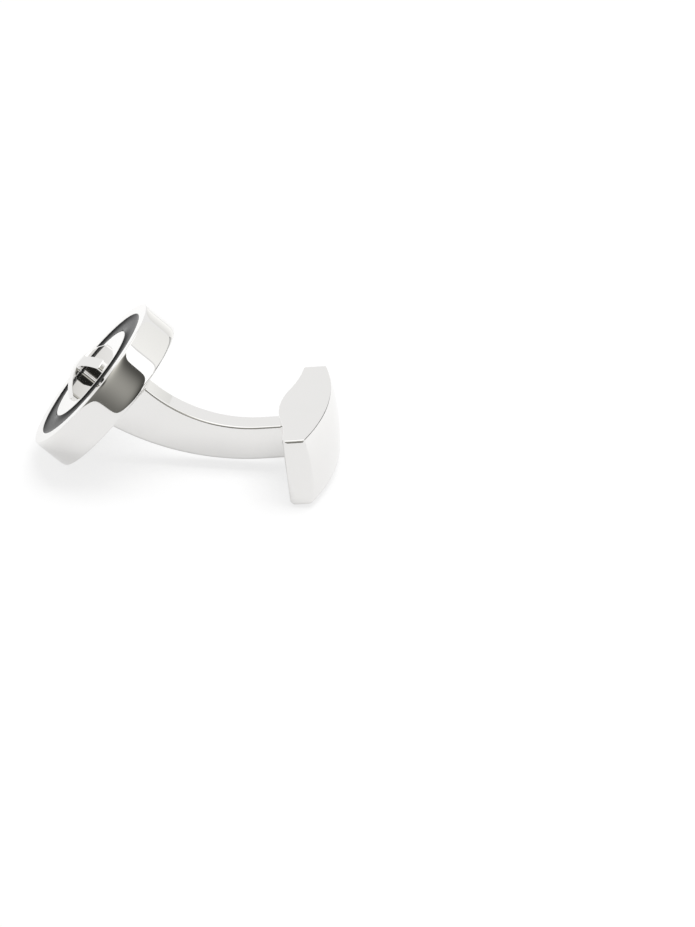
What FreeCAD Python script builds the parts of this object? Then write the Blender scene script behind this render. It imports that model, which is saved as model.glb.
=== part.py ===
import FreeCAD, Part
import os
import Sketcher
from FreeCAD import Placement, Rotation, Vector

# Cufflink, lying as photographed: round face at -X, swivel bar at +X, post arching between them.
# Millimetres. +Z up, table at z = 0, Y is the symmetry direction, origin under the middle.
os.makedirs("parts", exist_ok=True)
doc = FreeCAD.newDocument("cufflink")
sheet = doc.addObject("Spreadsheet::Sheet", "Dims")
row_count = 0


def dim(alias, text):
    """One driving or derived size, kept in the sheet under its alias."""
    global row_count
    row_count += 1
    sheet.set("A%d" % row_count, alias)
    sheet.set("B%d" % row_count, str(text))
    sheet.setAlias("B%d" % row_count, alias)


# Driving sizes of the round face
dim("face_dia", 17.0)
dim("face_thick", 3.55)
dim("face_edge", 0.2)
dim("rim_wide", 1.25)
dim("enamel_wide", 2.15)
dim("tray_deep", 1.1)
dim("ring_sink", 0.2)
dim("dome_dia", 6.6)
dim("dome_high", 1.7)
dim("dome_lip", 0.25)
dim("fin_count", 4)
dim("fin_turn", 48.0)
dim("fin_thick", 1.16)
dim("flute_root", 0.3)
dim("stud_dia", 1.6)

# Driving sizes of the post, its foot and its screw
dim("face_tilt", 38.5)
dim("bar_tilt", 7.6)
dim("post_thick", 2.5)
dim("post_neck", 3.4)
dim("post_root", 5.0)
dim("post_reach", 14.6)
dim("neck_run", 2.0)
dim("post_edge", 0.24)
dim("tongue_flat", 0.02)
dim("foot_high", 1.1)
dim("foot_long", 4.5)
dim("foot_wide", 2.1)
dim("key_long", 3.0)
dim("key_wide", 1.5)
dim("key_deep", 0.45)
dim("screw_dia", 1.0)
dim("screw_head_dia", 2.2)
dim("screw_head_high", 0.6)
dim("screw_grip", 2.4)
dim("screw_slot_wide", 0.3)
dim("screw_slot_deep", 0.22)

# Driving sizes of the swivel bar
dim("bar_long", 17.0)
dim("bar_wide", 6.8)
dim("bar_end_in", 1.3)
dim("bar_out", 4.8)
dim("hump_half", 3.4)
dim("crown_radius", 26.8)
dim("cross_crown", 0.35)
dim("cap_thick", 0.65)
dim("cap_round", 0.15)
dim("trim_past", 3.0)
dim("bar_corner", 0.5)
dim("bar_edge", 0.12)
dim("window_half", 5.0)
dim("side_play", 0.12)
dim("pin_depth", 1.2)
dim("pin_dia", 1.0)
dim("pin_play", 0.03)
dim("pin_hold", 1.0)
dim("spring_thick", 0.22)
dim("spring_half", 4.5)
dim("spring_play", 0.04)
dim("spring_wide", 3.2)

# Sizes that follow from the driving ones
dim("face_rad", "=face_dia / 2")
dim("ring_outer", "=face_rad - rim_wide")
dim("ring_inner", "=ring_outer - enamel_wide")
dim("tray_floor", "=face_thick - tray_deep")
dim("ring_top", "=face_thick - ring_sink")
dim("dome_rad", "=dome_dia / 2")
dim("dome_lip_top", "=face_thick + dome_lip")
dim("dome_top", "=face_thick + dome_high")
dim("dome_rise", "=dome_high - dome_lip")
dim("dome_sphere", "=(dome_rad ^ 2 + dome_rise ^ 2) / (2 * dome_rise)")
dim("dome_centre", "=dome_top - dome_sphere")
dim("stud_rad", "=stud_dia / 2")
dim("screw_rad", "=screw_dia / 2")
dim("screw_head_rad", "=screw_head_dia / 2")
dim("screw_neck", "=tray_floor - screw_head_high")
dim("screw_end", "=-foot_high - screw_grip")
dim("screw_slot_half", "=screw_slot_wide / 2")
dim("foot_long_half", "=foot_long / 2")
dim("foot_wide_half", "=foot_wide / 2")
dim("key_long_half", "=key_long / 2")
dim("key_wide_half", "=key_wide / 2")
dim("key_low", "=-foot_high - key_deep")
dim("foot_base", "=-foot_high")
dim("bar_half", "=bar_long / 2")
dim("bar_side", "=bar_wide / 2")
dim("slot_half", "=post_neck / 2 + side_play")
dim("neck_half", "=post_neck / 2")
dim("post_half", "=post_thick / 2")
dim("tongue_end", "=pin_depth + post_half")
dim("tongue_round", "=post_half - tongue_flat")
dim("pin_rad", "=pin_dia / 2")
dim("pin_bore_rad", "=pin_rad + pin_play")
dim("pin_top", "=slot_half + pin_hold")
dim("pin_long", "=bar_side + pin_top")
dim("crown_mid", "=bar_out - crown_radius")
dim("shell_radius", "=crown_radius - cap_thick")
dim("cap_in", "=bar_out - cap_thick")
dim("cap_crest", "=crown_radius + cross_crown")
dim("cross_radius", "=(bar_side ^ 2 + cross_crown ^ 2) / (2 * cross_crown)")
dim("cap_sweep", "=2 * asin((bar_half + trim_past / 2) / shell_radius) / 1deg")
dim("trim_far", "=bar_half + trim_past")
dim("cap_end_in", "=sqrt(shell_radius ^ 2 - bar_half ^ 2)")
dim("shell_end", "=crown_mid + cap_end_in")
dim("trim_in", "=cap_end_in - trim_past")
dim("trim_out", "=crown_radius + trim_past")

# Spring: outer arc from its crest at the post's round end down to the cap's inner side
dim("spring_crest", "=pin_depth + post_half + spring_play + spring_thick")
dim("spring_foot", "=crown_mid + sqrt(shell_radius ^ 2 - spring_half ^ 2)")
dim("spring_drop", "=spring_foot - spring_crest")
dim("spring_radius", "=(spring_half ^ 2 + spring_drop ^ 2) / (2 * spring_drop)")
dim("spring_mid", "=spring_crest + spring_radius")
dim("spring_inner", "=spring_radius + spring_thick")
dim("spring_ratio", "=spring_inner / spring_radius")
dim("spring_tip_x", "=spring_mid + (spring_foot - spring_mid) * spring_ratio")
dim("spring_tip_y", "=spring_half * spring_ratio")

# Pose: the face stands on its back rim and the bar on its hump, both at z = 0
dim("turn_face", "=90 - face_tilt")
dim("turn_root", "=90 - face_tilt - bar_tilt")
dim("sin_face", "=sin(face_tilt * 1deg)")
dim("cos_face", "=cos(face_tilt * 1deg)")
dim("sin_bar", "=sin(bar_tilt * 1deg)")
dim("cos_bar", "=cos(bar_tilt * 1deg)")
dim("sin_root", "=sin((face_tilt + bar_tilt) * 1deg)")
dim("cos_root", "=cos((face_tilt + bar_tilt) * 1deg)")
dim("face_z", "=face_rad * cos_face - face_edge * (cos_face + sin_face - 1)")
dim("bar_z", "=bar_side * cos_bar - bar_edge * (cos_bar + sin_bar - 1)")
dim("post_rise", "=(face_z - bar_z - foot_high * sin_face + post_reach * sin_bar) / cos_bar")
dim("face_run", "=post_reach * cos_bar + post_rise * sin_bar + foot_high * cos_face")
dim("face_far_a", "=(face_rad - face_edge) * sin_face + (face_thick - face_edge) * cos_face")
dim("face_far", "=face_run + face_far_a + face_edge")
dim("bar_far", "=(bar_out + cross_crown - cross_radius) * cos_bar + cross_radius")
dim("bar_x", "=(face_far - bar_far) / 2")
dim("face_x", "=bar_x - face_run")
dim("cap_x", "=bar_x + crown_mid * cos_bar")
dim("cap_z", "=bar_z + crown_mid * sin_bar")
dim("root_top_x", "=-post_reach + post_root / 2 * sin_root")
dim("root_top_z", "=post_rise + post_root / 2 * cos_root")
dim("root_low_x", "=-post_reach - post_root / 2 * sin_root")
dim("root_low_z", "=post_rise - post_root / 2 * cos_root")
dim("post_end_x", "=-post_reach")
doc.recompute()


def val(spec):
    """Number behind a spec: an alias, '-alias' or '0'."""
    if spec == "0":
        return 0.0
    if spec[0] == "-":
        return -float(sheet.get(spec[1:]))
    return float(sheet.get(spec))


def link(spec):
    """Expression text behind a spec."""
    if spec[0] == "-":
        return "-Dims." + spec[1:]
    return "Dims." + spec


def new_body(name):
    body = doc.addObject("PartDesign::Body", name)
    body.Label = name
    return body


def sketch_on(body, role, name, lift="0"):
    """Sketch on one of the body's own origin planes, lifted along the plane's normal."""
    sk = body.newObject("Sketcher::SketchObject", name)
    plane = [f for f in body.Origin.OriginFeatures if f.Role == role][0]
    sk.AttachmentSupport = [(plane, "")]
    sk.MapMode = "FlatFace"
    if lift != "0":
        sk.AttachmentOffset = Placement(Vector(0, 0, val(lift)), Rotation())
        sk.setExpression("AttachmentOffset.Base.z", link(lift))
    return sk


def pin_point(sk, geo, pos, spot):
    """Hold one sketch point at two specs."""
    for spec, kind, axis in ((spot[0], "DistanceX", -2), (spot[1], "DistanceY", -1)):
        if spec == "0":
            sk.addConstraint(Sketcher.Constraint("PointOnObject", geo, pos, axis))
        else:
            index = sk.addConstraint(Sketcher.Constraint(kind, -1, 1, geo, pos, val(spec)))
            sk.setExpression("Constraints[%d]" % index, link(spec))


def radius_of(sk, geo, spec):
    index = sk.addConstraint(Sketcher.Constraint("Radius", geo, val(spec)))
    sk.setExpression("Constraints[%d]" % index, link(spec))


def polygon(sk, spots):
    """Closed polygon with every corner held at its specs."""
    points = [Vector(val(a), val(b), 0) for a, b in spots]
    first = sk.GeometryCount
    count = len(points)
    for i in range(count):
        sk.addGeometry(Part.LineSegment(points[i], points[(i + 1) % count]), False)
    for i in range(count):
        sk.addConstraint(Sketcher.Constraint("Coincident", first + i, 2, first + (i + 1) % count, 1))
    for i in range(count):
        pin_point(sk, first + i, 1, spots[i])


def box_sketch(sk, half_a, half_b):
    low_a = "-" + half_a
    low_b = "-" + half_b
    polygon(sk, [(low_a, low_b), (half_a, low_b), (half_a, half_b), (low_a, half_b)])


def round_sketch(sk, spot, radius):
    centre = Vector(val(spot[0]), val(spot[1]), 0)
    geo = sk.addGeometry(Part.Circle(centre, Vector(0, 0, 1), val(radius)), False)
    if spot == ("0", "0"):
        sk.addConstraint(Sketcher.Constraint("Coincident", geo, 3, -1, 1))
    else:
        pin_point(sk, geo, 3, spot)
    radius_of(sk, geo, radius)


def revolve(body, sk, name, sweep=None):
    feat = body.newObject("PartDesign::Revolution", name)
    feat.Profile = sk
    feat.ReferenceAxis = (sk, ["V_Axis"])
    feat.Angle = 360.0
    if sweep:
        feat.Midplane = True
        feat.Angle = val(sweep)
        feat.setExpression("Angle", link(sweep))
    doc.recompute()
    return feat


def pad(body, sk, name, length, centred=False, back=False):
    feat = body.newObject("PartDesign::Pad", name)
    feat.Profile = sk
    feat.Length = val(length)
    feat.setExpression("Length", link(length))
    feat.Midplane = centred
    feat.Reversed = back
    doc.recompute()
    return feat


def pocket(body, sk, name, length=None, centred=False, back=False):
    feat = body.newObject("PartDesign::Pocket", name)
    feat.Profile = sk
    feat.Midplane = centred
    feat.Reversed = back
    if length:
        feat.Length = val(length)
        feat.setExpression("Length", link(length))
    else:
        feat.Type = "ThroughAll"
    doc.recompute()
    return feat


def fillet(body, base, name, radius, wanted):
    """Rounds the edges of base that the test picks."""
    names = ["Edge%d" % (i + 1) for i, e in enumerate(base.Shape.Edges) if wanted(e)]
    feat = body.newObject("PartDesign::Fillet", name)
    feat.Base = (base, names)
    feat.Radius = val(radius)
    feat.setExpression("Radius", link(radius))
    doc.recompute()
    return feat


def place(body, base_x, base_z, turn):
    """Tips the body back about Y and sets it down in the shared frame."""
    body.Placement = Placement(Vector(val(base_x), 0, val(base_z)), Rotation(Vector(0, -1, 0), val(turn)))
    body.setExpression("Placement.Base.x", link(base_x))
    body.setExpression("Placement.Base.z", link(base_z))
    body.setExpression("Placement.Rotation.Angle", link(turn) + " * 1deg")


def near(a, b):
    return abs(a - b) < 1e-4


def is_rim(edge, radius, level):
    """Full circle of a given radius at a given height."""
    if edge.Curve.TypeId != "Part::GeomCircle" or len(edge.Vertexes) != 1:
        return False
    return near(edge.Curve.Radius, radius) and near(edge.Curve.Center.z, level)


# Face cup: one turned piece, rim and solid back, with the tray for enamel and plate
cup = new_body("face_cup")
sk = sketch_on(cup, "XZ_Plane", "cup_section")
polygon(sk, [("screw_rad", "0"), ("face_rad", "0"), ("face_rad", "face_thick"), ("ring_outer", "face_thick"),
             ("ring_outer", "tray_floor"), ("screw_head_rad", "tray_floor"), ("screw_rad", "screw_neck")])
revolve(cup, sk, "cup_turned")
sk = sketch_on(cup, "XY_Plane", "cup_key_sketch")
box_sketch(sk, "key_long_half", "key_wide_half")
cup_key = pocket(cup, sk, "cup_key", "key_deep", back=True)
fillet(cup, cup_key, "cup_rims", "face_edge",
       lambda e: is_rim(e, val("face_rad"), 0) or is_rim(e, val("face_rad"), val("face_thick")))
place(cup, "face_x", "face_z", "turn_face")

# Enamel ring: glossy black band let into the tray against the rim
ring = new_body("enamel_ring")
sk = sketch_on(ring, "XZ_Plane", "ring_section")
polygon(sk, [("ring_inner", "tray_floor"), ("ring_outer", "tray_floor"), ("ring_outer", "ring_top"),
             ("ring_inner", "ring_top")])
revolve(ring, sk, "ring_turned")
place(ring, "face_x", "face_z", "turn_face")

# Centre plate: polished disc inside the enamel, bored for the dome's stud
plate = new_body("centre_plate")
sk = sketch_on(plate, "XZ_Plane", "plate_section")
polygon(sk, [("stud_rad", "tray_floor"), ("ring_inner", "tray_floor"), ("ring_inner", "face_thick"),
             ("stud_rad", "face_thick")])
revolve(plate, sk, "plate_turned")
place(plate, "face_x", "face_z", "turn_face")

# Finned dome: spherical boss on a stud, wedge flutes cut down to the plate leave upright fins
dome = new_body("finned_dome")
sk = sketch_on(dome, "XZ_Plane", "dome_section")
spots = [("0", "dome_top"), ("0", "tray_floor"), ("stud_rad", "tray_floor"), ("stud_rad", "face_thick"),
         ("dome_rad", "face_thick"), ("dome_rad", "dome_lip_top")]
points = [Vector(val(a), val(b), 0) for a, b in spots]
for i in range(len(spots) - 1):
    sk.addGeometry(Part.LineSegment(points[i], points[i + 1]), False)
crest = Vector(0, val("dome_centre"), 0)
arc_mid = crest + (points[0] + points[-1] - crest * 2).normalize() * val("dome_sphere")
dome_arc = sk.addGeometry(Part.Arc(points[-1], arc_mid, points[0]), False)
for i in range(len(spots) - 2):
    sk.addConstraint(Sketcher.Constraint("Coincident", i, 2, i + 1, 1))
last_line = len(spots) - 2
arc_first, arc_last = (1, 2) if sk.getPoint(dome_arc, 1).x > val("stud_rad") else (2, 1)
sk.addConstraint(Sketcher.Constraint("Coincident", last_line, 2, dome_arc, arc_first))
sk.addConstraint(Sketcher.Constraint("Coincident", dome_arc, arc_last, 0, 1))
for i in range(len(spots) - 1):
    pin_point(sk, i, 1, spots[i])
pin_point(sk, last_line, 2, spots[-1])
sk.addConstraint(Sketcher.Constraint("PointOnObject", dome_arc, 3, -2))
dome_turned = revolve(dome, sk, "dome_turned")
dim("fin_half_step", "=180 / fin_count")
dim("flute_turn", "=fin_turn + fin_half_step")
dim("flute_near", "=fin_thick / 2 / sin(fin_half_step * 1deg)")
dim("flute_x", "=flute_near * cos(flute_turn * 1deg)")
dim("flute_y", "=flute_near * sin(flute_turn * 1deg)")
dim("flute_left_x", "=flute_x + dome_dia * cos((flute_turn + fin_half_step) * 1deg)")
dim("flute_left_y", "=flute_y + dome_dia * sin((flute_turn + fin_half_step) * 1deg)")
dim("flute_right_x", "=flute_x + dome_dia * cos((flute_turn - fin_half_step) * 1deg)")
dim("flute_right_y", "=flute_y + dome_dia * sin((flute_turn - fin_half_step) * 1deg)")
dim("flute_back", "=flute_root / tan(fin_half_step * 1deg)")
dim("root_left_x", "=flute_x + flute_back * cos((flute_turn + fin_half_step) * 1deg)")
dim("root_left_y", "=flute_y + flute_back * sin((flute_turn + fin_half_step) * 1deg)")
dim("root_right_x", "=flute_x + flute_back * cos((flute_turn - fin_half_step) * 1deg)")
dim("root_right_y", "=flute_y + flute_back * sin((flute_turn - fin_half_step) * 1deg)")
dim("flute_inmost", "=flute_near + flute_root / sin(fin_half_step * 1deg) - flute_root")
doc.recompute()
sk = sketch_on(dome, "XY_Plane", "flute_sketch", "face_thick")
spots = [("root_right_x", "root_right_y"), ("flute_right_x", "flute_right_y"),
         ("flute_left_x", "flute_left_y"), ("root_left_x", "root_left_y")]
points = [Vector(val(a), val(b), 0) for a, b in spots]
for i in range(3):
    sk.addGeometry(Part.LineSegment(points[i], points[i + 1]), False)
inmost = Vector(val("flute_x"), val("flute_y"), 0).normalize() * val("flute_inmost")
root_arc = sk.addGeometry(Part.Arc(points[3], inmost, points[0]), False)
for i in range(3):
    pin_point(sk, i, 1, spots[i])
pin_point(sk, 2, 2, spots[3])
sk.addConstraint(Sketcher.Constraint("Coincident", 0, 2, 1, 1))
sk.addConstraint(Sketcher.Constraint("Coincident", 1, 2, 2, 1))
left_end = 1 if sk.getPoint(root_arc, 1).distanceToPoint(points[3]) < 1e-3 else 2
sk.addConstraint(Sketcher.Constraint("Coincident", root_arc, left_end, 2, 2))
sk.addConstraint(Sketcher.Constraint("Coincident", root_arc, 3 - left_end, 0, 1))
radius_of(sk, root_arc, "flute_root")
flute = pocket(dome, sk, "flute", back=True)
flutes = dome.newObject("PartDesign::PolarPattern", "flutes")
flutes.Originals = [flute]
flutes.Axis = (sk, ["N_Axis"])
flutes.Angle = 360.0
flutes.Occurrences = int(val("fin_count"))
flutes.setExpression("Occurrences", link("fin_count"))
dome.Tip = flutes
doc.recompute()
place(dome, "face_x", "face_z", "turn_face")

# Post screw: countersunk under the centre plate, through cup and foot into the post
screw = new_body("post_screw")
sk = sketch_on(screw, "XZ_Plane", "screw_section")
polygon(sk, [("0", "screw_end"), ("screw_rad", "screw_end"), ("screw_rad", "screw_neck"),
             ("screw_head_rad", "tray_floor"), ("0", "tray_floor")])
revolve(screw, sk, "screw_turned")
sk = sketch_on(screw, "XY_Plane", "screw_slot_sketch", "tray_floor")
box_sketch(sk, "screw_head_rad", "screw_slot_half")
pocket(screw, sk, "screw_slot", "screw_slot_deep")
place(screw, "face_x", "face_z", "turn_face")

# Post foot: stepped plinth keyed into the cup's back and into the post's root
foot = new_body("post_foot")
sk = sketch_on(foot, "XY_Plane", "foot_outline", "foot_base")
box_sketch(sk, "foot_long_half", "foot_wide_half")
pad(foot, sk, "foot_block", "foot_high")
sk = sketch_on(foot, "XY_Plane", "key_outline", "key_low")
box_sketch(sk, "key_long_half", "key_wide_half")
dim("key_total", "=foot_high + 2 * key_deep")
doc.recompute()
pad(foot, sk, "foot_keys", "key_total")
sk = sketch_on(foot, "XY_Plane", "foot_bore_sketch")
round_sketch(sk, ("0", "0"), "screw_rad")
pocket(foot, sk, "foot_bore", centred=True)
place(foot, "face_x", "face_z", "turn_face")

# Post: flat-sided bar, straight at the neck, then bent edgewise and growing to its root
post = new_body("post")
sk = sketch_on(post, "XZ_Plane", "post_side")
spots = [("tongue_end", "neck_half"), ("-neck_run", "neck_half"), ("root_top_x", "root_top_z"),
         ("root_low_x", "root_low_z"), ("-neck_run", "-neck_half"), ("tongue_end", "-neck_half")]
p = [Vector(val(a), val(b), 0) for a, b in spots]


def tangent_arc(start, end):
    """Arc that leaves start along -X and reaches end."""
    rise = end.y - start.y
    run = end.x - start.x
    radius = (run * run + rise * rise) / (2 * rise)
    centre = Vector(start.x, start.y + radius, 0)
    half = (start + end - centre * 2).normalize() * radius
    return Part.Arc(start, centre + half, end)


top_neck = sk.addGeometry(Part.LineSegment(p[0], p[1]), False)
top_arc = sk.addGeometry(tangent_arc(p[1], p[2]), False)
root_line = sk.addGeometry(Part.LineSegment(p[2], p[3]), False)
low_arc = sk.addGeometry(tangent_arc(p[4], p[3]), False)
low_neck = sk.addGeometry(Part.LineSegment(p[4], p[5]), False)
end_line = sk.addGeometry(Part.LineSegment(p[5], p[0]), False)


def arc_end(geo, point):
    """Which end of an arc lies at the point."""
    if sk.getPoint(geo, 1).distanceToPoint(point) < sk.getPoint(geo, 2).distanceToPoint(point):
        return 1
    return 2


for geo, start in ((top_neck, spots[0]), (root_line, spots[2]), (low_neck, spots[4])):
    pin_point(sk, geo, 1, start)
for geo, stop in ((top_neck, spots[1]), (root_line, spots[3]), (low_neck, spots[5])):
    pin_point(sk, geo, 2, stop)
sk.addConstraint(Sketcher.Constraint("Coincident", end_line, 1, low_neck, 2))
sk.addConstraint(Sketcher.Constraint("Coincident", end_line, 2, top_neck, 1))
sk.addConstraint(Sketcher.Constraint("Coincident", top_arc, arc_end(top_arc, p[2]), root_line, 1))
sk.addConstraint(Sketcher.Constraint("Coincident", low_arc, arc_end(low_arc, p[3]), root_line, 2))
sk.addConstraint(Sketcher.Constraint("Tangent", top_neck, 2, top_arc, arc_end(top_arc, p[1])))
sk.addConstraint(Sketcher.Constraint("Tangent", low_neck, 1, low_arc, arc_end(low_arc, p[4])))
post_bar = pad(post, sk, "post_bar", "post_thick", centred=True)


def tongue_corner(e):
    """The two upright edges at the neck's end."""
    spot = e.CenterOfMass
    return near(spot.x, val("tongue_end")) and near(abs(spot.y), val("post_half"))


def long_edge(e):
    """Edges along the neck, the bend and the root; the rounding runs on round the tongue."""
    mid = e.CenterOfMass
    return near(abs(mid.y), val("post_half")) and mid.x < val("pin_depth")


post_tongue = fillet(post, post_bar, "post_tongue", "tongue_round", tongue_corner)
fillet(post, post_tongue, "post_soft", "post_edge", long_edge)
sk = sketch_on(post, "XY_Plane", "pin_bore_sketch")
round_sketch(sk, ("pin_depth", "0"), "pin_bore_rad")
pocket(post, sk, "pin_bore", centred=True)


def root_sketch(name):
    """Sketch lying on the post's root face, looking out of the post."""
    root = sketch_on(post, "XY_Plane", name)
    root.AttachmentOffset = Placement(Vector(val("post_end_x"), 0, val("post_rise")),
                                      Rotation(Vector(0, -1, 0), val("turn_root")))
    root.setExpression("AttachmentOffset.Base.x", link("post_end_x"))
    root.setExpression("AttachmentOffset.Base.z", link("post_rise"))
    root.setExpression("AttachmentOffset.Rotation.Angle", link("turn_root") + " * 1deg")
    return root


sk = root_sketch("root_bore_sketch")
round_sketch(sk, ("0", "0"), "screw_rad")
pocket(post, sk, "root_bore", "screw_grip")
sk = root_sketch("root_key_sketch")
box_sketch(sk, "key_long_half", "key_wide_half")
pocket(post, sk, "root_key", "key_deep")
place(post, "bar_x", "bar_z", "bar_tilt")

# Swivel bar: boat-shaped body with flat sides, a hump for the pin and a window for the post
bar = new_body("toggle_body")
sk = sketch_on(bar, "XY_Plane", "bar_profile")
half_slope = val("bar_end_in") / val("bar_half")
hump_x = half_slope * val("hump_half")
tip_in = Vector(val("bar_end_in"), val("bar_half"), 0)
joint = Vector(hump_x, val("hump_half"), 0)


def mirrored(v):
    return Vector(v.x, -v.y, 0)


hump = sk.addGeometry(Part.Arc(joint, Vector(0, 0, 0), mirrored(joint)), False)
rise = tip_in.x - joint.x
run = tip_in.y - joint.y
flank_radius = (rise * rise + run * run) / (2 * rise)
flank_centre = Vector(tip_in.x - flank_radius, tip_in.y, 0)
flank_half = (tip_in + joint - flank_centre * 2).normalize() * flank_radius + flank_centre
upper = sk.addGeometry(Part.Arc(joint, flank_half, tip_in), False)
lower = sk.addGeometry(Part.Arc(mirrored(joint), mirrored(flank_half), mirrored(tip_in)), False)
tip_out = Vector(val("shell_end"), val("bar_half"), 0)
upper_end = sk.addGeometry(Part.LineSegment(tip_in, tip_out), False)
lower_end = sk.addGeometry(Part.LineSegment(mirrored(tip_in), mirrored(tip_out)), False)
back = sk.addGeometry(Part.Arc(tip_out, Vector(val("cap_in"), 0, 0), mirrored(tip_out)), False)
pin_point(sk, upper_end, 1, ("bar_end_in", "bar_half"))
pin_point(sk, upper_end, 2, ("shell_end", "bar_half"))
pin_point(sk, lower_end, 1, ("bar_end_in", "-bar_half"))
pin_point(sk, lower_end, 2, ("shell_end", "-bar_half"))
sk.addConstraint(Sketcher.Constraint("Coincident", upper, arc_end(upper, tip_in), upper_end, 1))
sk.addConstraint(Sketcher.Constraint("Coincident", lower, arc_end(lower, mirrored(tip_in)), lower_end, 1))
sk.addConstraint(Sketcher.Constraint("Coincident", back, arc_end(back, tip_out), upper_end, 2))
sk.addConstraint(Sketcher.Constraint("Coincident", back, arc_end(back, mirrored(tip_out)), lower_end, 2))
radius_of(sk, back, "shell_radius")
sk.addConstraint(Sketcher.Constraint("Tangent", upper, arc_end(upper, joint), hump, arc_end(hump, joint)))
sk.addConstraint(Sketcher.Constraint("Tangent", lower, arc_end(lower, mirrored(joint)),
                                     hump, arc_end(hump, mirrored(joint))))
sk.addConstraint(Sketcher.Constraint("PointOnObject", hump, 3, -1))
sk.addConstraint(Sketcher.Constraint("PointOnObject", -1, 1, hump))
joint_row = sk.addConstraint(Sketcher.Constraint("DistanceY", -1, 1, hump, arc_end(hump, joint), joint.y))
sk.setExpression("Constraints[%d]" % joint_row, link("hump_half"))
for geo, tip in ((upper, upper_end), (lower, lower_end)):
    sk.addConstraint(Sketcher.Constraint("PointOnObject", geo, 3, tip))
bar_block = pad(bar, sk, "bar_block", "bar_wide", centred=True)
bar_ends = fillet(bar, bar_block, "bar_ends", "bar_corner",
                  lambda e: near(e.CenterOfMass.z, 0) and near(e.CenterOfMass.x, val("bar_end_in")))


def inner_rim(e):
    """Edges of the two flat sides, all but the long arc under the cap."""
    on_side = near(abs(e.CenterOfMass.z), val("bar_side")) and near(e.BoundBox.ZLength, 0)
    return on_side and e.CenterOfMass.x < val("shell_end")


fillet(bar, bar_ends, "bar_soft", "bar_edge", inner_rim)
sk = sketch_on(bar, "YZ_Plane", "window_sketch")
box_sketch(sk, "window_half", "slot_half")
window = pocket(bar, sk, "window", centred=True)
dim("bar_low", "=-bar_side")
doc.recompute()
sk = sketch_on(bar, "XY_Plane", "bar_bore_sketch", "bar_low")
round_sketch(sk, ("pin_depth", "0"), "pin_rad")
pocket(bar, sk, "bar_bore", "pin_long", back=True)
place(bar, "bar_x", "bar_z", "bar_tilt")

# Cap: crowned outer shell closing the bar, rounded along its length and across
cap = new_body("toggle_cap")
sk = sketch_on(cap, "XZ_Plane", "cap_section")
low_in = Vector(val("shell_radius"), -val("bar_side"), 0)
low_out = Vector(val("crown_radius"), -val("bar_side"), 0)
crest = Vector(val("cap_crest"), 0, 0)
inner_line = sk.addGeometry(Part.LineSegment(mirrored(low_in), low_in), False)
low_line = sk.addGeometry(Part.LineSegment(low_in, low_out), False)
crown = sk.addGeometry(Part.Arc(low_out, crest, mirrored(low_out)), False)
high_line = sk.addGeometry(Part.LineSegment(mirrored(low_out), mirrored(low_in)), False)
pin_point(sk, inner_line, 1, ("shell_radius", "bar_side"))
pin_point(sk, inner_line, 2, ("shell_radius", "-bar_side"))
pin_point(sk, low_line, 2, ("crown_radius", "-bar_side"))
pin_point(sk, high_line, 1, ("crown_radius", "bar_side"))
sk.addConstraint(Sketcher.Constraint("Coincident", low_line, 1, inner_line, 2))
sk.addConstraint(Sketcher.Constraint("Coincident", high_line, 2, inner_line, 1))
sk.addConstraint(Sketcher.Constraint("Coincident", crown, arc_end(crown, low_out), low_line, 2))
sk.addConstraint(Sketcher.Constraint("Coincident", crown, arc_end(crown, mirrored(low_out)), high_line, 1))
radius_of(sk, crown, "cross_radius")
revolve(cap, sk, "cap_shell", "cap_sweep")
sk = sketch_on(cap, "XY_Plane", "cap_trim_sketch")
polygon(sk, [("trim_in", "bar_half"), ("trim_out", "bar_half"), ("trim_out", "trim_far"),
             ("trim_in", "trim_far")])
polygon(sk, [("trim_in", "-bar_half"), ("trim_out", "-bar_half"), ("trim_out", "-trim_far"),
             ("trim_in", "-trim_far")])
cap_trim = pocket(cap, sk, "cap_trim", centred=True)


def cap_end_edge(e):
    """The two crowned outer edges at the bar's ends, which lie past the cap's inner side."""
    spot = e.CenterOfMass
    outer = spot.x > val("cap_end_in") + val("cap_round")
    return outer and near(abs(spot.y), val("bar_half")) and near(spot.z, 0)


fillet(cap, cap_trim, "cap_soft", "cap_round", cap_end_edge)
place(cap, "cap_x", "cap_z", "bar_tilt")

# Pivot pin: pushed in from the lower side, blind at the upper side so that face stays plain
pin = new_body("pivot_pin")
sk = sketch_on(pin, "XY_Plane", "pin_sketch", "bar_low")
round_sketch(sk, ("pin_depth", "0"), "pin_rad")
pad(pin, sk, "pin_rod", "pin_long")
place(pin, "bar_x", "bar_z", "bar_tilt")

# Drag spring: bowed leaf in the window, feet on the cap, crest at the post's round end
leaf = new_body("drag_spring")
sk = sketch_on(leaf, "XY_Plane", "leaf_profile")
foot_up = Vector(val("spring_foot"), val("spring_half"), 0)
tip_up = Vector(val("spring_tip_x"), val("spring_tip_y"), 0)
outer = sk.addGeometry(Part.Arc(foot_up, Vector(val("spring_crest"), 0, 0), mirrored(foot_up)), False)
inner_crest = Vector(val("spring_crest") - val("spring_thick"), 0, 0)
inner = sk.addGeometry(Part.Arc(tip_up, inner_crest, mirrored(tip_up)), False)
up_line = sk.addGeometry(Part.LineSegment(foot_up, tip_up), False)
low_line = sk.addGeometry(Part.LineSegment(mirrored(foot_up), mirrored(tip_up)), False)
pin_point(sk, up_line, 1, ("spring_foot", "spring_half"))
pin_point(sk, up_line, 2, ("spring_tip_x", "spring_tip_y"))
pin_point(sk, low_line, 1, ("spring_foot", "-spring_half"))
pin_point(sk, low_line, 2, ("spring_tip_x", "-spring_tip_y"))
sk.addConstraint(Sketcher.Constraint("Coincident", outer, arc_end(outer, foot_up), up_line, 1))
sk.addConstraint(Sketcher.Constraint("Coincident", outer, arc_end(outer, mirrored(foot_up)), low_line, 1))
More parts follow.
